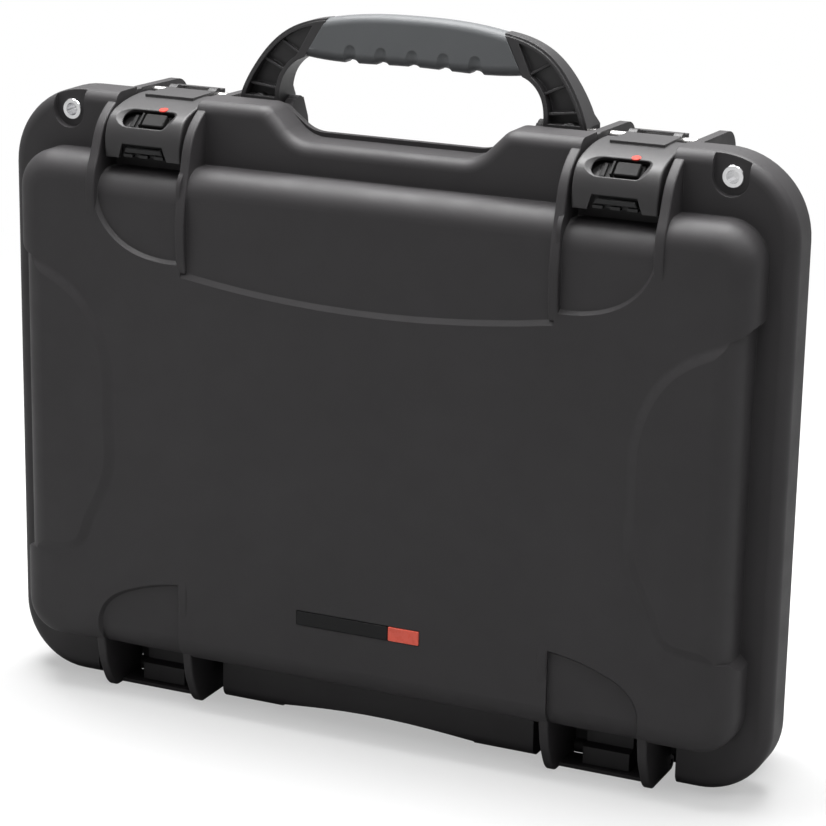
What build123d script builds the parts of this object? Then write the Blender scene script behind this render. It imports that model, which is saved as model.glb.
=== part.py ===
from build123d import *
from dataclasses import dataclass
from math import cos, radians, sin
import os

os.makedirs("parts", exist_ok=True)

# A hard case for a 15-inch laptop. It stands on its hinge side as it is carried: X runs across it,
# +Z is up and the lid faces -Y. The origin is on the floor under the middle of the case.
# Heights with "drop" in their name are measured down from the top of the rim.

# ---------------------------------------------------------------- driving sizes (mm)
# the two moulded halves
case_width = 460.0            # over the rims
case_top = 347.0              # top of the lid's rim above the floor
rim_bottom = 1.5              # the rims hang this far above the feet
rim_corner_top = 45.0
rim_corner_bottom = 39.0
lid_depth = 49.5              # seam to the lid's outermost pads
base_depth = 59.5             # seam to the base's outermost ribs
lid_rim_depth = 23.5          # thickness of the lid's rim
base_rim_depth = 7.0          # thickness of the base's rim
base_rim_inset = 1.5          # the base's rim hides behind the lid's by this much
lid_rim_round = 7.0           # rounding along the lid rim's front edge
base_rim_round = 3.5
seam_gap = 0.3                # air between the closed halves
wall = 3.5
bulge_side_margin = 14.0      # rim's outer edge to the side of the bulge
bulge_bottom = 29.0
lid_bulge_drop = 32.1
base_bulge_drop = 36.0
bulge_corner = 22.0
bulge_edge_round = 14.0
cavity_round = 9.0
cavity_corner = 18.0
seam_round = 6.0              # rounding under the seam, so that the lid can swing down

# raised pads at the sides and recessed fields in the faces
pad_height = 2.0
pad_slope = 6.4               # width of the soft slope round a pad
pad_side_inset = 4.7          # the side wall steps in beside a pad
pad_reach = 74.0              # rim's outer edge to the middle of the pad's inner slope
pad_low, pad_low_round = 86.3, 52.0
pad_high_drop = 91.8          # where the pad's upper slope meets the side wall
middle_sink = 2.0             # field between the inner ears
middle_top_sink = 2.5
middle_arc_drop, middle_arc_rise = 99.3, 8.8
panel_sink = 2.5              # fields below the latches and above the hinges
field_slope = 3.0             # width of the slope round the middle field
panel_slope = 1.8
latch_bay_drop = 39.5
latch_panel_drop = 85.6       # lowest line of the panel below a latch
hinge_panel_high = 73.5

# ears beside the latches and ribs beside the hinges
latch_inset = 92.55           # rim's outer edge to the middle of a latch
ear_pitch = 56.3
ear_thickness = 5.5
ear_round = 1.0
lid_ear_foot_inner = ((6.7, -28), (3.5, -39), (1.1, -50), (0, -66), (2.5, -86))  # setback, rise from rod
lid_ear_foot_outer = ((5.2, -28), (2.3, -34), (1.0, -40), (0.6, -46), (1.2, -54), (2.6, -62))
rib_top_inner, rib_top_outer = 79.0, 55.0

# scoop under the handle and arch in the lower edge
scoop_half_top, scoop_half_bottom = 70.5, 53.0
scoop_drop = 17.5
scoop_round_top, scoop_round_bottom = 9.0, 20.0
base_scoop_lift = 2.5
arch_half, arch_height, arch_side_height = 60.0, 6.4, 2.2

# hinges
hinge_height = 4.0
hinge_pin_diameter = 4.0
hinge_knuckle_radius = 4.0
hinge_bay_margin = 13.0       # the bay runs this far past the ribs' middles
hinge_bay_top = 24.0
hinge_block_inner, hinge_block_outer = 13.5, 13.5      # from the middle of the hinge
hinge_block_setback = 4.0     # behind the rim's front face
hinge_block_step = 6.0        # its upper part lies this much deeper
hinge_knuckle_gap = 0.7       # side play between the knuckles
hinge_fit = 0.05
foot_plate_thickness, foot_plate_start = 2.0, 6.0
foot_start = 10.0             # the base's feet begin this far behind the seam

# seal
gasket_width, gasket_height = 4.0, 2.0
gasket_offset = 2.6           # cavity wall to the groove
groove_depth = 3.0
tongue_width = 2.4
seal_clearance = 0.3

# cells that hollow out the rims from the seam
cell_wall = 3.5
side_cells, bottom_cells = 6, 4
cell_low, cell_high_drop = 62.0, 55.0
rim_land = 9.6                # land around the cavity that carries the seal
cell_depth = 19.0
bottom_cells_reach = 90.0
bottom_cell_low, bottom_cell_high = 12.0, 20.0

# padlock eyelets
eyelet_inset, eyelet_drop = 36.8, 12.2
eyelet_bore, eyelet_tube, eyelet_flange = 7.0, 9.4, 11.8
eyelet_flange_thickness = 0.9
eyelet_pocket_radius, eyelet_pocket_depth = 9.8, 4.2
eyelet_fit = 0.02

# name plate
plate_length, plate_height, plate_thickness = 74.2, 8.0, 1.2
plate_centre_height = 68.9
plate_end_length = 18.6
plate_recess = 0.7
plate_gap = 0.25
plate_corner, plate_edge = 0.6, 0.25

# latches; rises are measured up from the pivot, fronts forward of the seam
latch_width = 47.0
latch_skin = 2.6
latch_edge_round = 1.2
pivot_behind_seam = 20.5
pivot_drop = 5.0
pivot_rod_diameter = 5.0
knuckle_radius = 4.6
strap_half, strap_slot_half = 15.0, 10.0
strap_tail = 8.0
strap_under, strap_over = 3.6, 3.4
latch_reach = 27.5            # pivot down to the lever's lower edge
latch_front_from_rim = 16.0   # the lever's front stands this far before the rim
rim_cut_below_pivot = 8.0     # the rims are cut down to here under the latches
latch_clearance = 0.8
pivot_fit = 0.05
window_width, window_height = 31.0, 12.6
window_round_left, window_round_right, window_slant = 5.6, 2.2, 4.4
window_bevel, window_bevel_depth = 2.0, 1.3
window_behind_front, window_below_pivot = 6.7, 5.4
window_tilt = 50.6
notch_half_top, notch_half_bottom, notch_height = 12.4, 15.0, 8.1

# claw inside each latch; heights are measured down from its pin
claw_pin_behind_front, claw_pin_below_pivot = 6.5, 16.5
claw_pin_diameter = 2.4
claw_knuckle_radius = 2.6
claw_half, claw_arm_side = 14.0, 12.4
claw_spring_half = 3.4
claw_arm_half = 2.0           # half the arm's thickness
claw_toe_top, claw_toe_bottom = 6.9, 10.3
claw_toe_reach = 8.0
tab_half, tab_reach = 10.8, 6.0
tab_top, tab_bottom = 4.9, 8.0
tooth_width, tooth_pitch, tooth_count = 5.5, 9.5, 3
tooth_front_reach = 5.2
ledge_half, ledge_height, ledge_reach, ledge_gap = 14.5, 4.0, 3.6, 0.4
spring_wire, spring_mean_radius, spring_turns = 0.8, 2.15, 5
claw_fit = 0.05

# slide lock behind the latch's window
slide_low_x, slide_high_x, slide_height = -2.8, 10.2, 8.6
slide_ribs = ((-4.9, 1.1, -0.9), (-10.0, 1.8, -3.2))    # left edge, width, top
slide_top, slide_floor = -0.9, -5.7
slide_flange_half, slide_flange_extra, slide_flange_thickness = 11.6, 3.0, 1.3
slide_round, slide_flange_round = 1.0, 1.0
shelf_thickness, shelf_low, shelf_high = 1.5, -3.0, 7.0
slide_clearance = 0.3
marker_diameter, marker_height, marker_offset = 5.0, 0.7, 6.0
marker_behind_front, marker_below_pivot, marker_tilt = 13.9, 1.53, 14.2

# handle; heights are rises above the pivot, depths are measured back from the pivot rod
handle_front_low, handle_front_low_rise = -12.2, 8.0    # the front face leans back from here
handle_front_top, handle_front_top_rise = -6.2, 50.0
handle_back = 5.2
handle_rise = 54.0
handle_side_gap = 4.0         # foot to the ear beside it
handle_foot_width = 24.25
handle_foot_rise = 4.0
handle_foot_bottom, handle_foot_back = -9.0, 8.5
handle_lip = 1.2              # the flanges' outer edges are stepped by this much
lug_thickness, lug_gap = 5.7, 1.0
handle_lug_radius = 5.0
handle_web, handle_web_middle = 5.0, -2.0
flange_outer, flange_inner = 3.0, 2.4   # edges left around the webbed pockets
web_rib, web_rib_setback = 1.4, 2.0
web_ribs = ((88.4, 10.7, 7.1), (82.6, 22.5, 24.4), (75.3, 33.6, 30.2))   # x, rise, turn
web_boss_x, web_boss_outer, web_boss_inner = 92.0, 6.0, 3.6
grip_joint_top, grip_joint_low = 52.2, 64.3
grip_joint_top_rise, grip_joint_low_rise = 49.7, 28.0
grip_bottom_rise = 27.2
grip_proud = 0.6
grip_round = 5.0
grip_dimples, dimple_pitch, dimple_depth, dimple_radius, dimple_lift = 5, 18.45, 1.2, 6.0, 2.0
spine_low_rise, spine_high_rise, spine_front, spine_back = 34.0, 45.0, -4.0, 2.0

# relief valve in the top wall of the base
valve_behind_seam = 33.0
valve_head_diameter, valve_head_height = 24.0, 4.0
valve_stem_diameter, valve_stem_length = 12.0, 16.0
valve_bore = 5.0
valve_nut_flats, valve_nut_height = 18.0, 5.0
valve_seal_thickness = 1.0
valve_membrane_thickness = 0.8
valve_head_slots, valve_slot_width, valve_slot_depth = 6, 2.2, 2.8

# foam
foam_clearance = 0.3
lid_foam_thickness = 32.0
pocket_margin = 19.8          # foam left at the sides of the laptop's pocket
pocket_low, pocket_top_margin = 42.0, 14.0
pocket_depth = 32.0
pocket_corner = 12.0
finger_notch_radius = 15.0
foam_setback = 1.0            # foam stays this far behind the seam

# ---------------------------------------------------------------- derived places
past = 20.0                   # how far cutting shapes run past what they cut
seam = (lid_depth - base_depth) / 2
side = case_width / 2
latch_centre = side - latch_inset
ear_centre_inner = latch_centre - ear_pitch / 2
ear_centre_outer = latch_centre + ear_pitch / 2
ear_faces_inner = (ear_centre_inner - ear_thickness / 2, ear_centre_inner + ear_thickness / 2)
ear_faces_outer = (ear_centre_outer - ear_thickness / 2, ear_centre_outer + ear_thickness / 2)
bulge_half = side - bulge_side_margin
pad_half = bulge_half - pad_side_inset
pad_inner = side - pad_reach
pad_high = case_top - pad_high_drop
latch_bay_floor = case_top - latch_bay_drop
latch_panel_low = case_top - latch_panel_drop
pivot_height = case_top - pivot_drop
rod_y = seam + pivot_behind_seam
rim_cut_height = pivot_height - rim_cut_below_pivot
cavity_half = pad_half - wall
cavity_low = bulge_bottom + wall
cavity_high = latch_bay_floor - wall
eyelet_x, eyelet_height = side - eyelet_inset, case_top - eyelet_drop


@dataclass
class Half:
    """One moulded half of the case; side is -1 for the lid and +1 for the base."""
    side: int
    depth: float
    rim_depth: float
    rim_inset: float
    rim_round: float
    bulge_drop: float
    scoop_lift: float

    def y(self, distance):
        """Place of a plane at this distance from the seam."""
        return seam + self.side * distance

    @property
    def face(self):
        """Distance of the main face from the seam."""
        return self.depth - pad_height

    @property
    def bulge_top(self):
        return case_top - self.bulge_drop

    @property
    def cavity_floor(self):
        return self.face - panel_sink - wall

    def outer_face(self, shape):
        """The flat face of a shape that lies furthest from the seam."""
        return shape.faces().sort_by(Axis.Y)[0 if self.side < 0 else -1]


lid = Half(-1, lid_depth, lid_rim_depth, 0.0, lid_rim_round, lid_bulge_drop, 0.0)
base = Half(1, base_depth, base_rim_depth, base_rim_inset, base_rim_round, base_bulge_drop, base_scoop_lift)


# ---------------------------------------------------------------- shape helpers
def upright(y):
    """Plane that faces -Y, so that a sketch on it is drawn in x and z."""
    return Plane(origin=(0, y, 0), x_dir=(1, 0, 0), z_dir=(0, -1, 0))


def slab(sketch, y0, y1):
    """Prism of an x-z sketch between two y planes."""
    low, high = min(y0, y1), max(y0, y1)
    return extrude(upright(high) * sketch, amount=high - low)


def across(outline, x0, x1):
    """Prism of a y-z outline, given as points or as a face, between two x planes."""
    if isinstance(outline, list):
        outline = make_face(Polyline(*outline, close=True))
    return extrude(Plane.YZ.offset(x0) * outline, amount=x1 - x0)


def block(x0, x1, y0, y1, z0, z1):
    return Pos((x0 + x1) / 2, (y0 + y1) / 2, (z0 + z1) / 2) * Box(
        abs(x1 - x0), abs(y1 - y0), abs(z1 - z0))


def rod(radius, x0, x1, y, z):
    """Cylinder along X."""
    return Pos((x0 + x1) / 2, y, z) * Rot(0, 90, 0) * Cylinder(radius, abs(x1 - x0))


def post(radius, x, y0, y1, z):
    """Cylinder along Y."""
    return Pos(x, (y0 + y1) / 2, z) * Rot(90, 0, 0) * Cylinder(radius, abs(y1 - y0))


def both_sides(shape):
    """The shape with its mirror image on the other side of the case."""
    return shape + mirror(shape, about=Plane.YZ)


def rounded_frame(half_width, low, high, radius_low, radius_high):
    """Upright rectangle with one radius for its lower corners and one for its upper."""
    corners = [(-half_width, low), (half_width, low), (half_width, high), (-half_width, high)]
    return make_face(FilletPolyline(
        *corners, radius=[radius_low, radius_low, radius_high, radius_high], close=True))


def beside(curve, distance, start=0, end=1, samples=9):
    """Smooth curve that runs at a distance to the right of a plane curve."""
    points = []
    for i in range(samples):
        t = start + (end - start) * i / (samples - 1)
        place, way = curve @ t, curve % t
        points.append((place.X + way.Y * distance, place.Y - way.X * distance))
    return Spline(*points)


def soften(solid, radius):
    """Rounds the longest edge of each flat side of a prism that runs along X."""
    edges = [face.edges().sort_by(SortBy.LENGTH)[-1] for face in solid.faces().filter_by(Axis.X)]
    return fillet(edges, radius)


# ---------------------------------------------------------------- outlines of the halves
def rim_outline(half):
    """Outline of the rim, with the scoop that makes room for a hand."""
    inset = half.rim_inset
    width, top, floor = side - inset, case_top - inset, case_top - scoop_drop + half.scoop_lift
    corners = [(-width, rim_bottom), (width, rim_bottom), (width, top), (scoop_half_top, top),
               (scoop_half_bottom, floor), (-scoop_half_bottom, floor), (-scoop_half_top, top),
               (-width, top)]
    low, high = rim_corner_bottom - inset, rim_corner_top - inset
    radii = [low, low, high, scoop_round_top, scoop_round_bottom, scoop_round_bottom, scoop_round_top, high]
    return make_face(FilletPolyline(*corners, radius=radii, close=True))


def bulge(half, sink=0.0, half_width=bulge_half, low=bulge_bottom, high=None):
    """The box that stands out from the rim, with its face lowered by sink."""
    high = half.bulge_top if high is None else high
    box = slab(rounded_frame(half_width, low, high, bulge_corner, bulge_corner),
               seam, half.y(half.face - sink))
    return fillet(half.outer_face(box).edges(), bulge_edge_round)


def closed_above(edge, level):
    """Face between an edge that is drawn from left to right and a level line."""
    start, end = edge @ 0, edge @ 1
    return make_face([edge, Polyline((end.X, end.Y), (end.X, level), (start.X, level), (start.X, start.Y))])


def middle_outline(grow):
    """Field between the inner ears, above a shallow arc; grow moves the arc outwards."""
    low = case_top - middle_arc_drop
    arc = ThreePointArc((-ear_centre_inner, low + middle_arc_rise), (0, low),
                        (ear_centre_inner, low + middle_arc_rise))
    return closed_above(beside(arc, grow), case_top + past)


def latch_panel_outline(grow):
    """Field below a latch; its lower edge sweeps up along the outer ear."""
    low, inner, outer = latch_panel_low, ear_faces_inner[1], ear_faces_outer[0]
    edge = Spline((inner, low + 0.6), (inner + 18, low + 1.8), (inner + 35, low + 8.4),
                  (outer - 5.5, low + 18.5), (outer, low + 35))
    return closed_above(beside(edge, grow), case_top + past)


def hinge_panel_outline(grow):
    """Field above a hinge; its upper edge bends down along the outer rib."""
    high, inner, outer = hinge_panel_high, ear_faces_inner[1], ear_faces_outer[0]
    edge = Spline((outer, high - 28.5), (outer - 2, high - 21), (outer - 8.5, high - 13.3),
                  (outer - 22, high - 6.6), (inner + 16, high - 2.6), (inner, high))
    return closed_above(beside(edge, grow), -past)


def pad_outline(grow):
    """Raised side pad, bounded by a D-shaped curve and open past the side wall."""
    path = Spline((pad_half, pad_high), (pad_half - 25, pad_high - 11), (pad_half - 39, pad_high - 22),
                  (pad_half - 49, pad_high - 38), (pad_inner, pad_high - 63), (pad_inner, pad_high - 90),
                  (pad_inner, pad_low + pad_low_round),
                  (pad_inner + 0.293 * pad_low_round, pad_low + 0.293 * pad_low_round),
                  (pad_inner + pad_low_round, pad_low), tangents=[(-1, -0.42), (1, 0)])
    curve = beside(path, grow, samples=25)
    start, end = curve @ 0, curve @ 1
    out = side + past - pad_half
    return make_face([curve, Polyline(end, (pad_half, end.Y), (pad_half + out, end.Y - out),
                                      (pad_half + out, start.Y + out), start)])


def sunk_field(body, half, outline, sink, slope, lowered):
    """Lowers the body inside an outline to the lowered body, with a slope all round."""
    floor = half.face - sink
    reach = 3 * sink
    tool = slab(outline(0), half.y(half.rim_depth), half.y(floor))
    tool += loft([upright(half.y(floor)) * outline(0),
                  upright(half.y(floor + reach)) * outline(slope * reach / sink)])
    return body - (tool - lowered)


def side_pad(half):
    """Raised side pad with a soft slope round it, as high as the half is deep."""
    foot = slab(pad_outline(pad_slope / 2), seam, half.y(half.face))
    steps = ((0.5, 0.0), (0.25, 0.13), (-0.25, 0.87), (-0.5, 1.0))
    crown = loft([upright(half.y(half.face + rise * pad_height)) * pad_outline(share * pad_slope)
                  for share, rise in steps])
    plan = bulge(half, sink=-pad_height, half_width=pad_half)
    return (foot + crown) & plan


# ---------------------------------------------------------------- ears, ribs and fields
def lid_ear(centre, foot):
    """Ear beside a latch; foot gives the lower part of its crown as (setback, rise)."""
    far = lid_depth
    crown = Spline(*[(lid.y(d), pivot_height + rise) for d, rise in (
        (seam_gap / 2, 3), (9.5, 3.5), (19.5, 1.5), (29.5, -4), (far - 13, -11), (far - 9, -19),
        *((far - back, rise) for back, rise in foot))])
    end, start = crown @ 1, crown @ 0
    rest = Polyline((end.X, end.Y), (lid.y(far - 15), end.Y), (lid.y(seam_gap / 2), pivot_height - 24),
                    (start.X, start.Y))
    ear = across(make_face([crown, rest]), centre - ear_thickness / 2, centre + ear_thickness / 2)
    return soften(ear, ear_round)


def base_ear(centre):
    top, far = pivot_height + 4, base_depth
    points = [(seam_gap / 2, top - 3), (5, top), (far, top - 1.5), (far, top - 68), (far - 3.5, top - 90),
              (far - 20, top - 90), (seam_gap / 2, top - 28)]
    outline = FilletPolyline(*[(base.y(d), z) for d, z in points], radius=[0, 4, 13, 20, 0, 0, 0], close=True)
    ear = across(make_face(outline), centre - ear_thickness / 2, centre + ear_thickness / 2)
    return ear


def rib(half, centre, start, top):
    """Hinge-side rib that the case stands on; it follows the bulge from its face to the floor."""
    low = ((1.3, 68), (2.2, 55), (4.3, 42), (6.8, 29), (9, 18), (12.5, 10), (17, 2.5), (20, 0))
    points = [(2.2, top)] + [(back, z) for back, z in low if z < top - 5]
    crown = Spline(*[(half.y(half.depth - back), z) for back, z in points])
    inside = half.y(half.face - 8)
    end = crown @ 1
    rest = Polyline(end, (half.y(start), 0), (half.y(start), bulge_bottom), (inside, bulge_bottom + 8),
                    (inside, top), crown @ 0)
    shape = across(make_face([crown, rest]), centre - ear_thickness / 2, centre + ear_thickness / 2)
    return soften(shape, ear_round)


def ribs(half, start):
    return both_sides(rib(half, ear_centre_inner, start, rib_top_inner)
                      + rib(half, ear_centre_outer, start, rib_top_outer))


def half_body(half):
    """Rim, bulge, pads and fields of one half, still solid."""
    body = bulge(half)
    body = sunk_field(body, half, middle_outline, middle_sink, field_slope,
                      bulge(half, sink=middle_sink, high=half.bulge_top - middle_top_sink))
    side_tools = [(latch_panel_outline, bulge(half, sink=panel_sink, high=latch_bay_floor)),
                  (hinge_panel_outline, bulge(half, sink=panel_sink))]
    pad = side_pad(half)
    pad_room = slab(pad_outline(pad_slope / 2), half.y(half.rim_depth), half.y(half.depth + past))
    for flip in (False, True):
        def turned(shape):
            return mirror(shape, about=Plane.YZ) if flip else shape
        for outline, lowered in side_tools:
            body = sunk_field(body, half, lambda grow: turned(outline(grow)), panel_sink, panel_slope, lowered)
        body -= turned(pad_room)
        body += turned(pad)
    rim = slab(rim_outline(half), seam, half.y(half.rim_depth))
    return body + fillet(half.outer_face(rim).edges(), half.rim_round)


# ---------------------------------------------------------------- cuts that both halves share
def cavity_block(half, clearance, near, far):
    """Block that fills the cavity between two distances from the seam, less a clearance."""
    outline = rounded_frame(cavity_half - clearance, cavity_low + clearance, cavity_high - clearance,
                            cavity_corner - clearance, cavity_corner - clearance)
    fill = slab(outline, half.y(near), half.y(far))
    floor = half.cavity_floor - clearance
    if far < floor - cavity_round:
        return fill
    plan = slab(outline, seam, half.y(floor))
    return fill & fillet(half.outer_face(plan).edges(), cavity_round)


def arch_cut(half):
    """Shallow arch in the lower edge of the rim."""
    edge_height = rim_bottom + arch_side_height
    top = ThreePointArc((-arch_half, edge_height), (0, rim_bottom + arch_height), (arch_half, edge_height))
    rest = Polyline((arch_half, edge_height), (arch_half, -past), (-arch_half, -past),
                    (-arch_half, edge_height))
    return slab(make_face([top, rest]), half.y(-1), half.y(half.rim_depth + 1))


def seam_rounding(half):
    """What the rounding under the seam takes off, so that the lid can swing past the base."""
    reach = side - rim_corner_bottom / 2
    corner = block(-reach, reach, half.y(-1), half.y(seam_round), rim_bottom - 1, rim_bottom + seam_round)
    return corner - rod(seam_round, -reach - 1, reach + 1, half.y(seam_round), rim_bottom + seam_round)


def latch_bay(half):
    """Room for one latch between its ears, cut into the rim."""
    return block(ear_faces_inner[1], ear_faces_outer[0], half.y(-1), half.y(half.rim_depth + 0.01),
                 rim_cut_height, case_top + past)


def hinge_bay(half, top):
    return block(ear_centre_inner - hinge_bay_margin, ear_centre_outer + hinge_bay_margin,
                 half.y(-1), half.y(half.rim_depth + 0.01), -past, top)


def knuckle(near, far):
    return rod(hinge_knuckle_radius, near, far, seam, hinge_height)


def seal_ring(inner_offset, outer_offset):
    """Ring around the cavity, between two offsets from its wall."""
    def frame(offset_by):
        return rounded_frame(cavity_half + offset_by, cavity_low - offset_by, cavity_high + offset_by,
                             cavity_corner + offset_by, cavity_corner + offset_by)
    return frame(outer_offset) - frame(inner_offset)


def seam_air(half):
    """All that lies beyond the half's side of the seam, except the hinge knuckles."""
    beyond = block(-side - past, side + past, half.y(-past), half.y(seam_gap / 2), -past, case_top + past)
    return beyond - rod(hinge_knuckle_radius, -side, side, seam, hinge_height)


def eyelet_hole(half):
    return both_sides(post(eyelet_tube / 2 + eyelet_fit, eyelet_x, half.y(-1), half.y(half.depth),
                           eyelet_height))


hinge_block = (latch_centre - hinge_block_inner, latch_centre + hinge_block_outer)
lid_knuckles = [ear_faces_inner, hinge_block, ear_faces_outer]
base_knuckles = [(ear_faces_inner[1] + hinge_knuckle_gap, hinge_block[0] - hinge_knuckle_gap),
                 (hinge_block[1] + hinge_knuckle_gap, ear_faces_outer[0] - hinge_knuckle_gap)]


# ---------------------------------------------------------------- lid shell
def eyelet_pocket():
    """Pocket around the padlock hole, open at the top."""
    mouth = Pos(eyelet_x, eyelet_height + past) * Rectangle(2 * eyelet_pocket_radius, 2 * past)
    shape = Pos(eyelet_x, eyelet_height) * Circle(eyelet_pocket_radius) + mouth
    return slab(shape, lid.y(lid.rim_depth - eyelet_pocket_depth), lid.y(lid.rim_depth + past))


def rim_cells():
    """Blind cells that keep the lid's rim light; they open at the seam."""
    x0, x1 = cavity_half + rim_land, side - cell_wall
    pitch = (case_top - cell_high_drop - cell_low + cell_wall) / side_cells
    cells = Part()
    for i in range(side_cells):
        low = cell_low + i * pitch
        cells += block(x0, x1, seam + 1, lid.y(cell_depth), low, low + pitch - cell_wall)
    per_side = bottom_cells // 2
    width = (bottom_cells_reach + cell_wall / 2) / per_side
    for i in range(per_side):
        near = cell_wall / 2 + i * width
        cells += block(near, near + width - cell_wall, seam + 1, lid.y(cell_depth),
                       bottom_cell_low, bottom_cell_high)
    return both_sides(cells)


def plate_pocket():
    half, high = plate_length / 2 + plate_gap, plate_height / 2 + plate_gap
    return block(-half, half, lid.y(lid.face - plate_recess), lid.y(lid.depth + past),
                 plate_centre_height - high, plate_centre_height + high)


def lid_hinge_block():
    """Stepped block between the ribs that the lid's middle knuckle grows from."""
    front, step = lid.rim_depth - hinge_block_setback, hinge_block_step
    top = hinge_bay_top + 3
    outline = [(0, hinge_height), (0, top), (front - step, top), (front - step, top / 2), (front, top / 2 - 1),
               (front, 2.5), (front - 8, 0), (0, 0)]
    return across([(lid.y(d), z) for d, z in outline], *hinge_block)


def make_lid_shell():
    shell = half_body(lid) - arch_cut(lid)
    shell += both_sides(lid_ear(ear_centre_inner, lid_ear_foot_inner))
    shell += both_sides(lid_ear(ear_centre_outer, lid_ear_foot_outer))
    shell -= both_sides(latch_bay(lid)) + both_sides(hinge_bay(lid, hinge_bay_top))
    shell -= seam_rounding(lid)
    shell += ribs(lid, 0)
    shell += both_sides(lid_hinge_block())
    shell += both_sides(block(ear_faces_inner[1], ear_faces_outer[0], lid.y(foot_plate_start),
                              lid.y(lid.rim_depth), 0, foot_plate_thickness))
    for near, far in lid_knuckles:
        shell += both_sides(knuckle(near, far))
    ledge_low = claw_pin_height - claw_toe_top + ledge_gap
    shell += both_sides(block(latch_centre - ledge_half, latch_centre + ledge_half,
                              lid.y(lid.rim_depth - 1), lid.y(lid.rim_depth + ledge_reach),
                              ledge_low, ledge_low + ledge_height))
    shell -= cavity_block(lid, 0, -1, lid.cavity_floor)
    shell -= rim_cells() + both_sides(eyelet_pocket()) + eyelet_hole(lid)
    groove = seal_ring(gasket_offset - seal_clearance, gasket_offset + gasket_width + seal_clearance)
    shell -= slab(groove, lid.y(-1), lid.y(seam_gap / 2 + groove_depth))
    shell -= plate_pocket() + seam_air(lid)
    for near, far in lid_knuckles:
        shell -= both_sides(rod(hinge_pin_diameter / 2 + hinge_fit, near - 1, far + 1, seam, hinge_height))
    return shell


# ---------------------------------------------------------------- base shell
def handle_lug():
    """Lug that holds the inner end of the pivot rod beside the handle's foot."""
    near, far = pivot_behind_seam - 16.5, pivot_behind_seam + 15.5
    outline = [(near, base.bulge_top - 5), (near, pivot_height - 7), (near + 11.5, pivot_height + 3.5),
               (far - 10.5, pivot_height + 3.5), (far - 5, pivot_height - 8), (far, base.bulge_top - 5)]
    return (across([(base.y(d), z) for d, z in outline], *lug_sides)
            + rod(handle_lug_radius, *lug_sides, rod_y, pivot_height))


def make_base_shell():
    shell = half_body(base) - arch_cut(base)
    shell += both_sides(base_ear(ear_centre_inner) + base_ear(ear_centre_outer))
    clear_top = hinge_height + hinge_knuckle_radius + 1
    shell -= both_sides(latch_bay(base)) + both_sides(hinge_bay(base, clear_top))
    shell -= seam_rounding(base)
    shell += ribs(base, foot_start) + both_sides(handle_lug())
    shell -= cavity_block(base, 0, -1, base.cavity_floor)
    shell -= eyelet_hole(base)
    shell -= block(-side - past, side + past, base.y(-past), base.y(seam_gap / 2), -past, case_top + past)
    # arms that carry the hinge pins
    for near, far in base_knuckles:
        arm = block(near, far, base.y(0), base.y(base.rim_depth), 0, clear_top + 4)
        arm += block(near, far, base.y(base.rim_depth - 1), base.y(base.rim_depth + 8), 0,
                     bulge_bottom + 1)
        shell += both_sides(arm + knuckle(near, far))
        shell -= both_sides(rod(hinge_pin_diameter / 2, near - 1, far + 1, seam, hinge_height))
    middle = gasket_offset + gasket_width / 2
    tongue_reach = seam_gap / 2 + groove_depth - gasket_height - seal_clearance
    shell += slab(seal_ring(middle - tongue_width / 2, middle + tongue_width / 2),
                  base.y(-tongue_reach), base.y(1))
    shell -= both_sides(make_pivot_rod())
    return shell - valve_at(cavity_high) * Cylinder(valve_stem_diameter / 2, 2 * past)


# ---------------------------------------------------------------- seal, pins, eyelets, plates
def make_gasket():
    return slab(seal_ring(gasket_offset, gasket_offset + gasket_width),
                lid.y(seam_gap / 2 + groove_depth), lid.y(seam_gap / 2 + groove_depth - gasket_height))


def make_hinge_pin():
    return rod(hinge_pin_diameter / 2, ear_faces_inner[0] + 1, ear_faces_outer[1] - 1, seam, hinge_height)


def make_pivot_rod():
    """Rod through the ears that the handle and the latch both turn on."""
    return rod(pivot_rod_diameter / 2, lug_sides[0] + 1, ear_faces_outer[1] - 1, rod_y, pivot_height)


def make_eyelet(half, seat):
    """Steel tube with a flange that sits on the shell at the seat distance."""
    tube = post(eyelet_tube / 2, eyelet_x, half.y(seam_gap / 2), half.y(seat), eyelet_height)
    flange = post(eyelet_flange / 2, eyelet_x, half.y(seat), half.y(seat + eyelet_flange_thickness),
                  eyelet_height)
    flange = chamfer(half.outer_face(flange).edges(), eyelet_flange_thickness / 2)
    return tube + flange - post(eyelet_bore / 2, eyelet_x, half.y(-1), half.y(seat + 5), eyelet_height)


def make_plate(x0, x1):
    floor = lid.face - plate_recess
    face = RectangleRounded(x1 - x0, plate_height, plate_corner)
    plate = slab(Pos((x0 + x1) / 2, plate_centre_height) * face, lid.y(floor),
                 lid.y(floor + plate_thickness))
    return chamfer(lid.outer_face(plate).edges(), plate_edge)


# ---------------------------------------------------------------- latches (drawn about x = 0)
latch_front = lid_rim_depth + latch_front_from_rim
latch_bottom = pivot_height - latch_reach
claw_pin_front = latch_front - claw_pin_behind_front
claw_pin_height = pivot_height - claw_pin_below_pivot
claw_pin_y = seam - claw_pin_front
lever_back = -8.5
# side outline of the lever as (distance forward of the seam, rise above the pivot)
lever_crown = [(lever_back, 2.0), (7.5, 1.8), (18, 0.4), (latch_front - 12, -2), (latch_front - 5.8, -5),
               (latch_front - 2.2, -9.6), (latch_front, -17), (latch_front - 0.5, -latch_reach)]
window_plane = Plane(origin=(0, seam - latch_front + window_behind_front, pivot_height - window_below_pivot),
                     x_dir=(1, 0, 0), z_dir=(0, -cos(radians(window_tilt)), sin(radians(window_tilt))))
lug_outer = ear_faces_inner[0] - handle_side_gap - handle_foot_width - lug_gap
lug_sides = (lug_outer - lug_thickness, lug_outer)


def ahead(front, rise):
    """Turns a distance forward of the seam and a rise above the pivot into (y, z)."""
    return (seam - front, pivot_height + rise)


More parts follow.
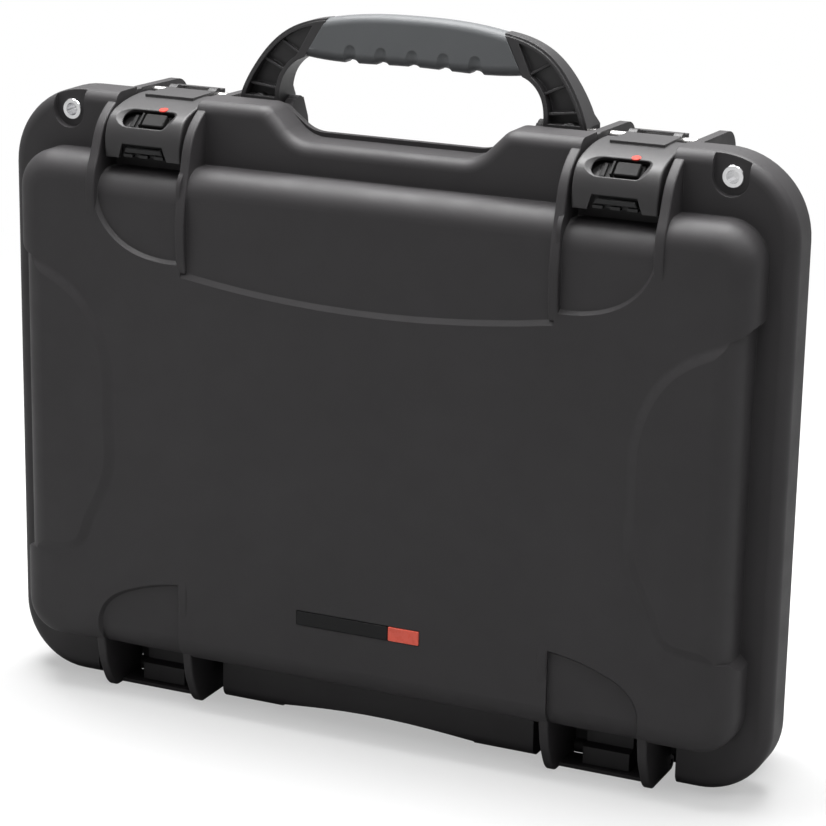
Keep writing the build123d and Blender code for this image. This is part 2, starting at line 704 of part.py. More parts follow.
def lever_sections():
    """Side outlines of the lever and of the hollow inside it, which is open below."""
    skin = Spline(*[ahead(front, rise) for front, rise in lever_crown])
    outer = make_face([skin, Polyline(skin @ 1, ahead(lever_back, -latch_reach), skin @ 0)])
    inner = beside(skin, -latch_skin, 0.04, 1)
    low = latch_bottom - 1
    hollow = make_face([inner, Polyline(inner @ 1, ((inner @ 1).X, low), ((inner @ 0).X, low), inner @ 0)])
    return outer, hollow


def in_window(outline, low, high, shift=(0, 0)):
    """Prism square to the window, between two depths; depths below the skin are negative."""
    return extrude(window_plane.offset(low) * Pos(*shift) * outline, amount=high - low)


def window_outline(grow=0.0):
    """Window with a round left end and a slanted right end."""
    left, low, high = -window_width / 2 - grow, -window_height / 2 - grow, window_height / 2 + grow
    right = window_width / 2 + grow
    radii = [window_round_left + grow, window_round_right + grow, window_round_right + grow,
             window_round_left + grow]
    return make_face(FilletPolyline((left, low), (right - window_slant, low), (right, high), (left, high),
                                    radius=radii, close=True))


def make_latch_lever():
    outer, hollow = lever_sections()
    half = latch_width / 2
    shell = soften(across(outer, -half, half), latch_edge_round)
    shell -= across(hollow, latch_skin - half, half - latch_skin)
    rim_front = lid.y(lid.rim_depth + latch_clearance)
    shell -= block(-half, half, rim_front, seam + past, latch_bottom - 1, rim_cut_height + latch_clearance)
    # strap that reaches back to the pivot rod
    strap = block(-strap_half, strap_half, seam + lever_back - 0.5, rod_y + strap_tail,
                  pivot_height - strap_under, pivot_height + strap_over)
    strap += rod(knuckle_radius, -strap_half, strap_half, rod_y, pivot_height)
    slot = block(-strap_slot_half, strap_slot_half, rod_y - 4, rod_y + strap_tail - 3,
                 pivot_height - past, pivot_height + past)
    shell += strap - slot
    shell -= rod(pivot_rod_diameter / 2 + pivot_fit, -half, half, rod_y, pivot_height)
    # window with a bevelled edge, the shelf that carries the slide lock, the notch for the claw's tab
    shell -= in_window(window_outline(), slide_floor, past)
    rise = window_bevel_depth
    shell -= loft([window_plane.offset(-rise) * window_outline(),
                   window_plane.offset(rise) * window_outline(2 * window_bevel)])
    shelf_top = slide_floor - slide_clearance
    shelf = Rectangle(latch_width - 2 * latch_skin + 1, shelf_high - shelf_low)
    shell += in_window(shelf, shelf_top - shelf_thickness, shelf_top, shift=(0, (shelf_low + shelf_high) / 2))
    notch = make_face(Polyline((-notch_half_bottom, latch_bottom), (notch_half_bottom, latch_bottom),
                               (notch_half_top, latch_bottom + notch_height),
                               (-notch_half_top, latch_bottom + notch_height), close=True))
    notch += Pos(0, latch_bottom - 1) * Rectangle(2 * notch_half_bottom, 2)
    shell -= slab(notch, seam - latch_front - 2, seam - latch_front + 2 * latch_skin)
    shell -= rod(claw_pin_diameter / 2, 1 - half, half - 1, claw_pin_y, claw_pin_height)
    return shell - make_marker()


def make_claw():
    """Claw with a tab to press, an arm up to its pin and a toothed toe under the lid's ledge."""
    thin, top = claw_arm_half, claw_pin_height
    toe_high, toe_low = top - claw_toe_top, top - claw_toe_bottom
    claw = rod(claw_knuckle_radius, -claw_half, claw_half, claw_pin_y, top)
    claw += block(-claw_arm_side, claw_arm_side, claw_pin_y - thin, claw_pin_y + thin, toe_low, top)
    claw += block(-claw_arm_side, claw_arm_side, claw_pin_y, claw_pin_y + claw_toe_reach, toe_low, toe_high)
    tab_low, tab_high = top - tab_bottom, top - tab_top
    tab = make_face(Polyline((-tab_half - 1.2, tab_low), (tab_half + 1.2, tab_low), (tab_half, tab_high),
                             (-tab_half, tab_high), close=True))
    tab = slab(tab, claw_pin_y - tab_reach, claw_pin_y)
    claw += chamfer(tab.faces().sort_by(Axis.Y)[0].edges(), 0.6)
    # room for the spring
    claw -= block(-claw_spring_half, claw_spring_half, claw_pin_y - 2 * thin, claw_pin_y + 2 * thin,
                  top - claw_knuckle_radius - 0.8, top + 2 * thin)
    # gaps that leave the toe as teeth, behind the arm and before it
    for i in range(tooth_count + 1):
        middle = (i - tooth_count / 2) * tooth_pitch
        gap = (tooth_pitch - tooth_width) / 2
        claw -= block(middle - gap, middle + gap, claw_pin_y + thin, claw_pin_y + claw_toe_reach + 1,
                      toe_low - 1, toe_high + 0.01)
    for i in range(tooth_count):
        middle = (i - (tooth_count - 1) / 2) * tooth_pitch
        claw += block(middle - tooth_width / 2, middle + tooth_width / 2, claw_pin_y - tooth_front_reach,
                      claw_pin_y, toe_low, tab_low - 0.6)
    return claw - rod(claw_pin_diameter / 2 + claw_fit, -claw_half - 1, claw_half + 1, claw_pin_y, top)


def make_claw_pin():
    half = latch_width / 2 - 1
    return rod(claw_pin_diameter / 2, -half, half, claw_pin_y, claw_pin_height)


def make_claw_spring():
    """Torsion spring round the claw's pin."""
    length = 2 * claw_spring_half - spring_wire - 2 * slide_clearance
    path = Helix(length / spring_turns, length, spring_mean_radius)
    coil = sweep(Plane(origin=path @ 0, z_dir=path % 0) * Circle(spring_wire / 2), path=path)
    return Pos(-length / 2, claw_pin_y, claw_pin_height) * Rot(0, 90, 0) * coil


def make_slide_lock():
    """Sliding button with a flange under the lever's skin and two grip ribs."""
    button = RectangleRounded(slide_high_x - slide_low_x, slide_height, slide_round)
    lock = in_window(button, slide_floor, slide_top, shift=((slide_low_x + slide_high_x) / 2, 0))
    lock = chamfer(lock.faces().sort_by(Axis(origin=(0, 0, 0), direction=window_plane.z_dir))[-1].edges(), 0.5)
    for left, width, top in slide_ribs:
        lock += in_window(Rectangle(width, slide_height), slide_floor, top, shift=(left + width / 2, 0))
    flange = RectangleRounded(2 * slide_flange_half, slide_height + slide_flange_extra, slide_flange_round)
    return lock + in_window(flange, slide_floor, slide_floor + slide_flange_thickness)


def make_marker():
    """Small disc let into the front of the lever's top."""
    place = Pos(marker_offset, seam - latch_front + marker_behind_front, pivot_height - marker_below_pivot)
    return place * Rot(marker_tilt, 0, 0) * Cylinder(marker_diameter / 2, marker_height)


# ---------------------------------------------------------------- handle
foot_outer = ear_faces_inner[0] - handle_side_gap
foot_inner = foot_outer - handle_foot_width
grip_top_z, grip_low_z = pivot_height + grip_joint_top_rise, pivot_height + grip_joint_low_rise
grip_bottom = pivot_height + grip_bottom_rise
handle_lean = (handle_front_top - handle_front_low) / (handle_front_top_rise - handle_front_low_rise)


def arm_outlines():
    """Front outlines of the handle's right arm and of the pocket that leaves it as a web."""
    low = pivot_height + handle_foot_bottom - 4
    foot_z = pivot_height + handle_foot_rise
    across_arm, up_arm = foot_outer - grip_joint_top, grip_top_z - foot_z
    outer = Spline((grip_joint_top, grip_top_z), *[
        (grip_joint_top + share * across_arm, grip_top_z - drop * up_arm)
        for share, drop in ((0.205, 0.042), (0.47, 0.165), (0.666, 0.345), (0.841, 0.606), (0.94, 0.81))],
        (foot_outer, foot_z))
    across_bend, up_bend = foot_inner - grip_joint_low, grip_low_z - foot_z
    inner = Spline((foot_inner, foot_z), *[
        (foot_inner - share * across_bend, foot_z + rise * up_bend)
        for share, rise in ((0.026, 0.285), (0.19, 0.593), (0.494, 0.825))], (grip_joint_low, grip_low_z))
    foot = Polyline((foot_outer, foot_z), (foot_outer, low), (foot_inner, low), (foot_inner, foot_z))
    joint = Line((grip_joint_low, grip_low_z), (grip_joint_top, grip_top_z))
    edge_out = beside(outer, flange_outer, 0.13, 0.97)
    edge_in = beside(inner, flange_inner, 0.03, 0.86)
    pocket = make_face([edge_out, Line(edge_out @ 1, edge_in @ 0), edge_in, Line(edge_in @ 1, edge_out @ 0)])
    return make_face([outer, foot, inner, joint]), pocket


def handle_side(grow, width):
    """Prism of the handle's side outline: round at the feet, with a front that leans back."""
    above = 2 * handle_rise
    front = handle_front_low + handle_lean * (above - handle_front_low_rise) - grow
    low, back = handle_front_low - grow, handle_back + grow
    points = [(low, handle_foot_bottom), (low, handle_front_low_rise), (front, above), (back, above),
              (back, handle_foot_back + 1), (handle_foot_back, handle_foot_back / 2),
              (handle_foot_back, handle_foot_bottom)]
    outline = FilletPolyline(*[(rod_y + d, pivot_height + rise) for d, rise in points],
                             radius=[8, 20, 0, 0, 2, 2, 8], close=True)
    return across(make_face(outline), -width, width)


def make_handle_frame():
    near, far = rod_y - past, rod_y + past
    outline, pocket = arm_outlines()
    arm = slab(outline, near, far) & handle_side(-handle_lip, side)
    arm += slab(outline & Pos(-handle_lip, -0.8 * handle_lip) * outline, near, far) & handle_side(0, side)
    bars = Sketch()
    for x, rise, turn in web_ribs:
        bars += Pos(x, pivot_height + rise) * Rot(0, 0, turn) * Rectangle(2 * past, web_rib)
    boss = Pos(web_boss_x, pivot_height) * (Circle(web_boss_outer) - Circle(web_boss_inner))
    web_middle = rod_y + handle_web_middle
    sunk = pocket - bars - boss
    arm -= slab(sunk, near, web_middle - handle_web / 2) + slab(sunk, web_middle + handle_web / 2, far)
    # the cross ribs and the boss stand a little below the flanges
    arm -= slab(pocket & (bars + boss), near, far) - handle_side(-web_rib_setback, side)
    arm -= rod(pivot_rod_diameter / 2 + pivot_fit, foot_inner - 1, foot_outer + 1, rod_y, pivot_height)
    reach = grip_joint_low - 4
    spine = block(-reach, reach, rod_y + spine_front, rod_y + spine_back,
                  pivot_height + spine_low_rise, pivot_height + spine_high_rise)
    return both_sides(arm) + spine


def finger_groove():
    """Round groove that wraps the grip's lower edges, front and back."""
    sunk = dimple_radius - dimple_depth
    reach = grip_round + sunk
    low, high = grip_bottom + grip_round, grip_bottom + grip_round + dimple_lift
    lean = handle_lean * (grip_bottom_rise + grip_round - handle_front_low_rise)
    front = rod_y + handle_front_low + lean - grip_proud + grip_round
    back = rod_y + handle_back + grip_proud - grip_round
    path = Wire([Line((front - reach, high), (front - reach, low)).edge(),
                 CenterArc((front, low), reach, 180, 90).edge(),
                 Line((front, low - reach), (back, low - reach)).edge(),
                 CenterArc((back, low), reach, 270, 90).edge(),
                 Line((back + reach, low), (back + reach, high)).edge()])
    path = Plane.YZ * path
    groove = sweep(Plane(origin=path @ 0, z_dir=path % 0) * Circle(dimple_radius), path=path)
    return (groove + Pos(0, front - reach, high) * Sphere(dimple_radius)
            + Pos(0, back + reach, high) * Sphere(dimple_radius))


def make_handle_grip(frame):
    arch = pivot_height + handle_rise
    corner = grip_joint_low - 5
    top = Spline((-grip_joint_top, grip_top_z), (-28, arch - 0.9), (0, arch), (28, arch - 0.9),
                 (grip_joint_top, grip_top_z))
    right = Line((grip_joint_top, grip_top_z), (grip_joint_low, grip_low_z))
    low = Spline((grip_joint_low, grip_low_z), (corner, grip_bottom + 0.2), (0, grip_bottom),
                 (-corner, grip_bottom + 0.2), (-grip_joint_low, grip_low_z))
    left = Line((-grip_joint_low, grip_low_z), (-grip_joint_top, grip_top_z))
    grip = slab(make_face([top, right, low, left]), rod_y - past, rod_y + past)
    grip &= handle_side(grip_proud, side)
    grip = fillet([e for e in grip.edges() if e.length > 2 * grip_joint_top - 1], grip_round)
    groove = finger_groove()
    for i in range(grip_dimples):
        grip -= Pos((i - (grip_dimples - 1) / 2) * dimple_pitch, 0, 0) * groove
    return grip - frame


# ---------------------------------------------------------------- relief valve
def valve_at(z):
    return Pos(0, base.y(valve_behind_seam), z)


valve_seat = base.bulge_top - middle_top_sink


def make_valve_body():
    under_head = valve_seat + valve_seal_thickness
    head = valve_at(under_head + valve_head_height / 2) * Cylinder(valve_head_diameter / 2, valve_head_height)
    head = chamfer(head.faces().sort_by(Axis.Z)[-1].edges(), 1.0)
    for i in range(valve_head_slots):
        slot = Pos(valve_head_diameter / 2, 0, 0) * Box(valve_slot_depth, valve_slot_width, valve_head_height)
        head -= valve_at(under_head + valve_head_height) * Rot(0, 0, 360 / valve_head_slots * i) * slot
    stem_radius = valve_stem_diameter / 2 - pivot_fit
    stem = valve_at(under_head - valve_stem_length / 2) * Cylinder(stem_radius, valve_stem_length)
    bore = valve_at(under_head - valve_stem_length / 2 - 1) * Cylinder(valve_bore / 2, valve_stem_length)
    return head + stem - bore


def make_valve_nut():
    nut = extrude(RegularPolygon(valve_nut_flats / 2, 6, major_radius=False), amount=valve_nut_height)
    nut -= Cylinder(valve_stem_diameter / 2, 4 * valve_nut_height)
    return valve_at(cavity_high - valve_nut_height) * nut


def make_valve_seal():
    ring = Cylinder(valve_head_diameter / 2 - 2, valve_seal_thickness) - Cylinder(
        valve_stem_diameter / 2, 2 * valve_seal_thickness)
    return valve_at(valve_seat + valve_seal_thickness / 2) * ring


def make_valve_membrane():
    """Breathable disc that closes the bore at the foot of the stem."""
    foot = valve_seat + valve_seal_thickness - valve_stem_length
    return valve_at(foot - valve_membrane_thickness / 2) * Cylinder(
        valve_stem_diameter / 2 - 1, valve_membrane_thickness)


# ---------------------------------------------------------------- foam
pocket_half_width = cavity_half - pocket_margin
pocket_high = cavity_high - pocket_top_margin


def valve_notch():
    """Room for the valve's nut and stem in the foam."""
    half = valve_nut_flats / 2 + 3
    return block(-half, half, base.y(valve_behind_seam - half), base.y(valve_behind_seam + half),
                 valve_seat - valve_stem_length - 4, cavity_high + past)


def make_foam_tray():
    near, far = base.y(-1), base.y(foam_setback + pocket_depth + 1)
    middle = (pocket_low + pocket_high) / 2
    tray = cavity_block(base, foam_clearance, foam_setback, foam_setback + pocket_depth)
    tray -= slab(Pos(0, middle) * RectangleRounded(2 * pocket_half_width, pocket_high - pocket_low,
                                                   pocket_corner), near, far)
    tray -= both_sides(post(finger_notch_radius, pocket_half_width, near, far, middle))
    return tray - valve_notch()


def make_foam_pad():
    start = foam_setback + pocket_depth
    return cavity_block(base, foam_clearance, start, base.cavity_floor - foam_clearance) - valve_notch()


def make_lid_foam():
    floor = lid.cavity_floor - foam_clearance
    return cavity_block(lid, foam_clearance, floor - lid_foam_thickness, floor)


# ---------------------------------------------------------------- write the nodes
def save(node, shape):
    export_step(shape, f"parts/{node}.step")


def save_pair(name, shape, turned=True):
    """Writes a right piece and its left twin, mirrored or just moved across."""
    save(f"{name}_right", shape)
    save(f"{name}_left", mirror(shape, about=Plane.YZ) if turned else Pos(-2 * latch_centre, 0, 0) * shape)


save("lid_shell", make_lid_shell())
save("base_shell", make_base_shell())
save("lid_gasket", make_gasket())
save("lid_foam", make_lid_foam())
save("base_foam_tray", make_foam_tray())
save("base_foam_pad", make_foam_pad())
save_pair("hinge_pin", make_hinge_pin())
save_pair("pivot_rod", make_pivot_rod())
save_pair("padlock_eyelet_lid", make_eyelet(lid, lid.rim_depth - eyelet_pocket_depth))
save_pair("padlock_eyelet_base", make_eyelet(base, base.rim_depth))
plate_split = plate_length / 2 - plate_end_length
save("name_plate", make_plate(-plate_length / 2, plate_split - plate_gap))
save("name_plate_end", make_plate(plate_split + plate_gap, plate_length / 2))
at_latch = Pos(latch_centre, 0, 0)
for name, make in (("latch_lever", make_latch_lever), ("latch_claw", make_claw),
                   ("claw_pin", make_claw_pin), ("claw_spring", make_claw_spring),
                   ("slide_lock", make_slide_lock), ("latch_marker", make_marker)):
    save_pair(name, at_latch * make(), turned=False)
handle_frame = make_handle_frame()
save("handle_frame", handle_frame)
save("handle_grip", make_handle_grip(handle_frame))
save("valve_body", make_valve_body())
save("valve_nut", make_valve_nut())
save("valve_seal", make_valve_seal())
save("valve_membrane", make_valve_membrane())
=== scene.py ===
import bpy
import math
from mathutils import Matrix, Vector


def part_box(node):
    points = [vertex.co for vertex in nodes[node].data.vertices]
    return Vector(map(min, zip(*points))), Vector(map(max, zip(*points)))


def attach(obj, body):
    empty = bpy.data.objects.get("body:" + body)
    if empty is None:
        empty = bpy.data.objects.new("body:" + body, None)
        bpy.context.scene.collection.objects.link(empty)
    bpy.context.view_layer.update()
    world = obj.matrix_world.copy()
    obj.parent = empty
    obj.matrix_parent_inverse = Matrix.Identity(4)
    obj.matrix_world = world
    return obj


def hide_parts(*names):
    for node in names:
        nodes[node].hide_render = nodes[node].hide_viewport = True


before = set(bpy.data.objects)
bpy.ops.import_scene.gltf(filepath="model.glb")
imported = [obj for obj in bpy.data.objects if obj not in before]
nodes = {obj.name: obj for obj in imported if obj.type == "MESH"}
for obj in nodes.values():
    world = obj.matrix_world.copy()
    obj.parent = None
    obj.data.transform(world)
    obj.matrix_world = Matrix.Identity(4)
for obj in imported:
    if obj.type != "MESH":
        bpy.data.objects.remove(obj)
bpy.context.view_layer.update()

# ------------------------------------------------------------------ lid and base shells
# The two halves are injection moulded in black polypropylene. The mould's surface is spark eroded, so
# the plastic comes out with a fine satin grain, and its edges are rounded by a fraction of a millimetre.


def new_material(name):
    """Material with its tree, its surface shader and the object's own coordinates."""
    material = bpy.data.materials.new(name)
    material.use_nodes = True
    tree = material.node_tree
    place = tree.nodes.new("ShaderNodeTexCoord").outputs["Object"]
    return material, tree, tree.nodes["Principled BSDF"], place


def noise(tree, place, scale, detail=2.0, stretch=(1, 1, 1)):
    """Noise of a scale per metre, drawn out along an axis where stretch is under one."""
    mapping = tree.nodes.new("ShaderNodeMapping")
    mapping.inputs["Scale"].default_value = stretch
    tree.links.new(place, mapping.inputs["Vector"])
    texture = tree.nodes.new("ShaderNodeTexNoise")
    texture.inputs["Scale"].default_value = scale
    texture.inputs["Detail"].default_value = detail
    tree.links.new(mapping.outputs["Vector"], texture.inputs["Vector"])
    return texture.outputs["Fac"]


def spread(tree, value, low, high):
    """Turns the middle range of a noise into values from low to high."""
    node = tree.nodes.new("ShaderNodeMapRange")
    node.inputs["From Min"].default_value, node.inputs["From Max"].default_value = 0.3, 0.7
    node.inputs["To Min"].default_value, node.inputs["To Max"].default_value = low, high
    tree.links.new(value, node.inputs["Value"])
    return node.outputs["Result"]


def tint(tree, value, dark, light):
    """Colour that goes from dark to light with a value."""
    mix = tree.nodes.new("ShaderNodeMix")
    mix.data_type = "RGBA"
    mix.inputs["A"].default_value = (*dark, 1)
    mix.inputs["B"].default_value = (*light, 1)
    tree.links.new(value, mix.inputs["Factor"])
    return mix.outputs["Result"]


def relief(tree, height, depth, under=None, strength=1.0):
    """Surface relief of a depth in metres, laid over the normal under it."""
    bump = tree.nodes.new("ShaderNodeBump")
    bump.inputs["Distance"].default_value = depth
    bump.inputs["Strength"].default_value = strength
    tree.links.new(height, bump.inputs["Height"])
    if under is not None:
        tree.links.new(under, bump.inputs["Normal"])
    return bump.outputs["Normal"]


def moulded(name, colour, rough, grain=0.00004, edge=0.0007, specular=0.5):
    """Moulded plastic: faint flow shades, satin grain, and edges rounded by the mould."""
    material, tree, surface, place = new_material(name)
    flow = spread(tree, noise(tree, place, 14, 3), 0, 1)
    shade = tint(tree, flow, [c * 0.92 for c in colour], [c * 1.08 for c in colour])
    tree.links.new(shade, surface.inputs["Base Color"])
    wear = spread(tree, noise(tree, place, 60, 4), rough - 0.04, rough + 0.05)
    tree.links.new(wear, surface.inputs["Roughness"])
    surface.inputs["Specular IOR Level"].default_value = specular
    soft = tree.nodes.new("ShaderNodeBevel")
    soft.samples = 6
    soft.inputs["Radius"].default_value = edge
    fine = noise(tree, place, 2600, 2)
    tree.links.new(relief(tree, fine, grain, soft.outputs["Normal"]), surface.inputs["Normal"])
    return material


def paint(material, *names):
    """Gives the named pieces of the frame one material."""
    for name in names:
        mesh = nodes[name].data
        mesh.materials.clear()
        mesh.materials.append(material)


paint(moulded("shell_polypropylene_lid", (0.025, 0.0232, 0.0247), 0.58, specular=0.42), "lid_shell")
paint(moulded("shell_polypropylene_base", (0.024, 0.0222, 0.0237), 0.59, specular=0.42), "base_shell")

# ------------------------------------------------------------------ seal in the seam
# A ring of soft cellular rubber lies in the lid's groove, held by its own squeeze, and the base's tongue
# presses on it. The relief valve sits on a smaller ring of the same rubber.


def rubber(name, colour, rough, pore=900, depth=0.00012):
    """Rubber or foam skin: matt, with open pores."""
    material, tree, surface, place = new_material(name)
    pores = noise(tree, place, pore, 5)
    shade = tint(tree, spread(tree, pores, 0, 1), [c * 0.7 for c in colour], [c * 1.25 for c in colour])
    tree.links.new(shade, surface.inputs["Base Color"])
    worn = spread(tree, noise(tree, place, 40, 3), rough - 0.05, rough + 0.05)
    tree.links.new(worn, surface.inputs["Roughness"])
    tree.links.new(relief(tree, pores, depth), surface.inputs["Normal"])
    return material


seal = rubber("cellular_rubber_seal", (0.016, 0.016, 0.016), 0.75)
paint(seal, "lid_gasket", "valve_seal")

# ------------------------------------------------------------------ foam that holds the laptop
# Three pieces of foam fill the halves. The lid's is cut on a profiling machine into an egg-crate face,
# and the base's are a die-cut tray with finger notches on a flat pad. All three are pressed in.


def foam_piece(name, colour, crate=0.0, pitch=0.034):
    """Foam in the room of its plain solid; crate is the depth of egg-crate waves in its rear face."""
    skin, unevenness, border, face_depth = 0.0005, 0.0003, 0.012, 0.0016
    cell = 0.003
    solid = nodes[name]
    piece = bpy.data.objects.new("cut_" + name, solid.data.copy())
    bpy.context.scene.collection.objects.link(piece)
    cells = piece.modifiers.new("cells", "REMESH")
    cells.mode, cells.voxel_size, cells.use_smooth_shade = "VOXEL", cell, True
    ready = piece.evaluated_get(bpy.context.evaluated_depsgraph_get())
    mesh = bpy.data.meshes.new_from_object(ready)
    piece.modifiers.clear()
    piece.data = mesh
    low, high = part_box(name)
    normals = [v.normal.copy() for v in mesh.vertices]
    for vertex, normal in zip(mesh.vertices, normals):
        x, y, z = vertex.co
        ripple = math.sin(x * 431 + z * 173) * math.sin(z * 389 - x * 117 + y * 250)
        vertex.co -= normal * (skin + unevenness * ripple)
        if crate and y > high[1] - face_depth:
            wave = math.cos(x * math.tau / pitch) * math.cos(z * math.tau / pitch)
            edge = min(x - low[0], high[0] - x, z - low[2], high[2] - z)
            vertex.co.y -= crate * (0.5 - 0.5 * wave) * min(1, edge / border)
    material = rubber(name + "_cells", colour, 0.95, pore=1400, depth=0.0004)
    mesh.materials.clear()
    mesh.materials.append(material)
    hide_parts(name)
    return piece


lid_foam = foam_piece("lid_foam", (0.030, 0.030, 0.032), crate=0.012)
tray_foam = foam_piece("base_foam_tray", (0.026, 0.026, 0.028))
pad_foam = foam_piece("base_foam_pad", (0.026, 0.026, 0.028))
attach(lid_foam, "lid")
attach(tray_foam, "base")
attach(pad_foam, "base")

# ------------------------------------------------------------------ pins and rods
# Stainless rod, ground and cut to length: two hinge pins along the lower edge, two pivot rods through
# the upper ears that the handle and the latches turn on, and a thin pin across each latch.


def metal(name, colour, rough, stretch, scale=900, depth=0.000006):
    """Bare or plated metal with fine marks along the way it was ground or drawn."""
    material, tree, surface, place = new_material(name)
    surface.inputs["Metallic"].default_value = 1
    marks = noise(tree, place, scale, 4, stretch)
    shade = tint(tree, spread(tree, marks, 0, 1), [c * 0.88 for c in colour], colour)
    tree.links.new(shade, surface.inputs["Base Color"])
    tree.links.new(spread(tree, marks, rough - 0.05, rough + 0.08), surface.inputs["Roughness"])
    if depth:
        tree.links.new(relief(tree, marks, depth), surface.inputs["Normal"])
    return material


ground_rod = metal("ground_stainless_rod", (0.62, 0.61, 0.60), 0.28, (0.04, 1, 1))
paint(ground_rod, *(f"{name}_{side}" for name in ("hinge_pin", "pivot_rod", "claw_pin")
                    for side in ("left", "right")))

# ------------------------------------------------------------------ padlock eyelets
# Pressed steel tubes with a rolled flange, nickel and chrome plated, one through each upper corner of
# the lid and of the base. A padlock's shackle goes through both.
chrome = metal("chrome_plate", (0.95, 0.95, 0.96), 0.13, (1, 0.2, 1), scale=260, depth=0)
paint(chrome, *(f"padlock_eyelet_{half}_{side}" for half in ("lid", "base") for side in ("left", "right")))

# ------------------------------------------------------------------ name plate
# A bare two-part badge, glossy black with a red end. Both pieces are moulded in plastic and glued into a
# shallow pocket in the lid's face.


def glossy(name, colour, rough, specular=0.3):
    """Glossy plastic with the faint waviness of a moulded face."""
    material, tree, surface, place = new_material(name)
    flow = spread(tree, noise(tree, place, 90, 2), 0, 1)
    shade = tint(tree, flow, [c * 0.9 for c in colour], [c * 1.06 for c in colour])
    tree.links.new(shade, surface.inputs["Base Color"])
    tree.links.new(spread(tree, noise(tree, place, 300, 3), rough, rough + 0.06),
                   surface.inputs["Roughness"])
    surface.inputs["Specular IOR Level"].default_value = specular
    waves = noise(tree, place, 45, 1)
    tree.links.new(relief(tree, waves, 0.0003), surface.inputs["Normal"])
    return material


paint(glossy("badge_black", (0.004, 0.004, 0.0045), 0.2, specular=0.22), "name_plate")
paint(glossy("badge_red", (0.86, 0.13, 0.085), 0.25), "name_plate_end")

# ------------------------------------------------------------------ latches
# Each lever is moulded in glass-filled nylon, a shade lighter than the shells, and turns on the pivot
# rod. Behind its window a nylon button slides sideways to lock a sprung claw that grips the lid.
paint(moulded("latch_nylon", (0.025, 0.0238, 0.0248), 0.48, grain=0.00003, edge=0.0008),
      "latch_lever_left", "latch_lever_right")
dark_nylon = moulded("claw_nylon", (0.012, 0.012, 0.0125), 0.46, grain=0.00002, edge=0.0004, specular=0.4)
paint(dark_nylon, "latch_claw_left", "latch_claw_right")
paint(moulded("button_nylon", (0.009, 0.0088, 0.009), 0.62, grain=0.00002, edge=0.0004, specular=0.18),
      "slide_lock_left", "slide_lock_right")
paint(metal("spring_wire", (0.5, 0.49, 0.48), 0.3, (0.2, 1, 1)), "claw_spring_left", "claw_spring_right")
paint(glossy("red_enamel_dot", (0.55, 0.05, 0.035), 0.3), "latch_marker_left", "latch_marker_right")

# ------------------------------------------------------------------ handle
# The frame is one nylon moulding, webbed at its arms. Its middle is overmoulded with a soft grey
# rubber grip that has shallow hollows for the fingers.
paint(moulded("handle_nylon", (0.022, 0.021, 0.0222), 0.40, grain=0.00003), "handle_frame")
paint(moulded("grip_rubber", (0.094, 0.098, 0.102), 0.50, grain=0.00006, specular=0.35), "handle_grip")

# ------------------------------------------------------------------ relief valve
# A nylon valve in the top wall of the base lets air in and out behind a white breathable film, held
# from inside by a nut.
paint(dark_nylon, "valve_body", "valve_nut")


def film(name):
    """Breathable film: fine white fibres pressed flat."""
    material, tree, surface, place = new_material(name)
    fibres = noise(tree, place, 2500, 6, (1, 0.15, 1))
    tree.links.new(tint(tree, fibres, (0.6, 0.6, 0.58), (0.82, 0.82, 0.8)), surface.inputs["Base Color"])
    surface.inputs["Roughness"].default_value = 0.85
    tree.links.new(relief(tree, fibres, 0.00005), surface.inputs["Normal"])
    return material


paint(film("breathable_film"), "valve_membrane")

# ------------------------------------------------------------------ studio
# A seamless white sweep, lit by a large soft box above and smaller ones in front and at the sides. The
# background is plain white to the camera, half as bright in reflections, and a level grey to the rest.


def background_share(tree):
    """How much of the background a ray sees: all of it straight or through glass, half in a reflection."""
    path = tree.nodes.new("ShaderNodeLightPath")
    mirrored = tree.nodes.new("ShaderNodeMath")
    mirrored.operation = "MULTIPLY_ADD"
    tree.links.new(path.outputs["Is Glossy Ray"], mirrored.inputs[0])
    mirrored.inputs[1].default_value = 0.5
    tree.links.new(path.outputs["Is Camera Ray"], mirrored.inputs[2])
    seen = tree.nodes.new("ShaderNodeMath")
    seen.operation = "MAXIMUM"
    tree.links.new(mirrored.outputs[0], seen.inputs[0])
    tree.links.new(path.outputs["Is Transmission Ray"], seen.inputs[1])
    return seen.outputs[0]


world = bpy.data.worlds.new("studio_white")
bpy.context.scene.world = world
world.use_nodes = True
tree = world.node_tree
background = tree.nodes["Background"]
level = tree.nodes.new("ShaderNodeMapRange")
level.inputs["To Min"].default_value = 0.11
level.inputs["To Max"].default_value = 1.0
tree.links.new(background_share(tree), level.inputs["Value"])
tree.links.new(level.outputs["Result"], background.inputs["Strength"])
background.inputs["Color"].default_value = (1, 1, 1, 1)


def soft_box(name, place, target, width, height, power):
    """Rectangular lamp that faces its target."""
    lamp = bpy.data.lights.new(name, "AREA")
    lamp.shape = "RECTANGLE"
    lamp.size, lamp.size_y, lamp.energy = width, height, power
    holder = bpy.data.objects.new(name, lamp)
    holder.location = place
    holder.rotation_euler = (Vector(target) - Vector(place)).to_track_quat("-Z", "Y").to_euler()
    bpy.context.scene.collection.objects.link(holder)


soft_box("soft_box_top", (-0.15, 0.25, 1.6), (0, 0, 0.2), 1.5, 1.1, 72)
soft_box("soft_box_front", (0.4, -0.85, 1.7), (0, 0, 0.2), 0.9, 0.7, 10)
soft_box("soft_box_right", (1.4, 0.1, 1.5), (0.1, 0, 0.35), 0.6, 0.6, 7)
soft_box("soft_box_left", (-1.5, -0.8, 0.7), (0, 0, 0.2), 0.6, 1.2, 2)

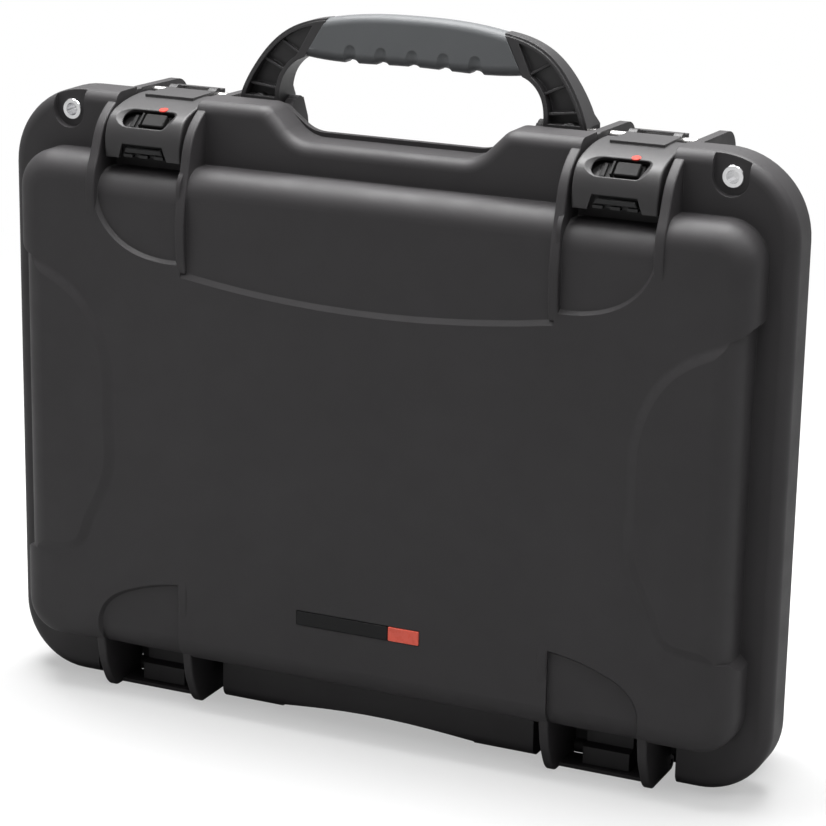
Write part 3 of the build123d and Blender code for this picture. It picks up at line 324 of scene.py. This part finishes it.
# the paper takes the case's shadow, and past the shadow it turns into the white of the background
floor_mesh = bpy.data.meshes.new("floor")
floor_mesh.from_pydata([(-6, -4, 0), (6, -4, 0), (6, 8, 0), (-6, 8, 0)], [], [(0, 1, 2, 3)])
floor = bpy.data.objects.new("floor", floor_mesh)
bpy.context.scene.collection.objects.link(floor)
paper = bpy.data.materials.new("white_sweep_paper")
paper.use_nodes = True
tree = paper.node_tree
paper_surface = tree.nodes["Principled BSDF"]
paper_surface.inputs["Base Color"].default_value = (0.36, 0.36, 0.36, 1)
paper_surface.inputs["Roughness"].default_value = 0.95
paper_surface.inputs["Specular IOR Level"].default_value = 0.1
path = tree.nodes.new("ShaderNodeLightPath")
lift = tree.nodes.new("ShaderNodeEmission")
lift.inputs["Color"].default_value = (0.43, 0.43, 0.43, 1)
tree.links.new(path.outputs["Is Camera Ray"], lift.inputs["Strength"])
lit = tree.nodes.new("ShaderNodeAddShader")
tree.links.new(paper_surface.outputs[0], lit.inputs[0])
tree.links.new(lift.outputs[0], lit.inputs[1])
place = tree.nodes.new("ShaderNodeTexCoord").outputs["Object"]
distance = tree.nodes.new("ShaderNodeVectorMath")
distance.operation = "LENGTH"
tree.links.new(place, distance.inputs[0])
far = tree.nodes.new("ShaderNodeMapRange")
far.interpolation_type = "SMOOTHSTEP"
far.inputs["From Min"].default_value, far.inputs["From Max"].default_value = 0.5, 1.3
tree.links.new(distance.outputs["Value"], far.inputs["Value"])
far_seen = tree.nodes.new("ShaderNodeMath")
far_seen.operation = "MULTIPLY"
tree.links.new(far.outputs["Result"], far_seen.inputs[0])
tree.links.new(background_share(tree), far_seen.inputs[1])
white = tree.nodes.new("ShaderNodeEmission")
blend = tree.nodes.new("ShaderNodeMixShader")
tree.links.new(far_seen.outputs[0], blend.inputs["Fac"])
tree.links.new(lit.outputs[0], blend.inputs[1])
tree.links.new(white.outputs[0], blend.inputs[2])
tree.links.new(blend.outputs[0], tree.nodes["Material Output"].inputs["Surface"])
floor_mesh.materials.append(paper)

# ------------------------------------------------------------------ camera
# A long lens, a metre and a half off and higher than the case, looks down on the lid from its right.
camera = bpy.data.cameras.new("camera")
camera.lens, camera.sensor_width = 123.94, 36.0
camera.shift_x, camera.shift_y = 0.0223, 0.0171
camera_holder = bpy.data.objects.new("camera", camera)
right, up, ahead = ((0.90613588, 0.42269929, 0.01559119), (-0.13334145, 0.25047389, 0.9588967),
                    (-0.40141976, 0.87096966, -0.28332672))
turn = Matrix((right, up, tuple(-c for c in ahead))).transposed().to_4x4()
camera_holder.matrix_world = Matrix.Translation((0.63008, -1.37470, 0.61681)) @ turn
bpy.context.scene.collection.objects.link(camera_holder)
bpy.context.scene.camera = camera_holder
bpy.context.scene.view_settings.view_transform = "Standard"
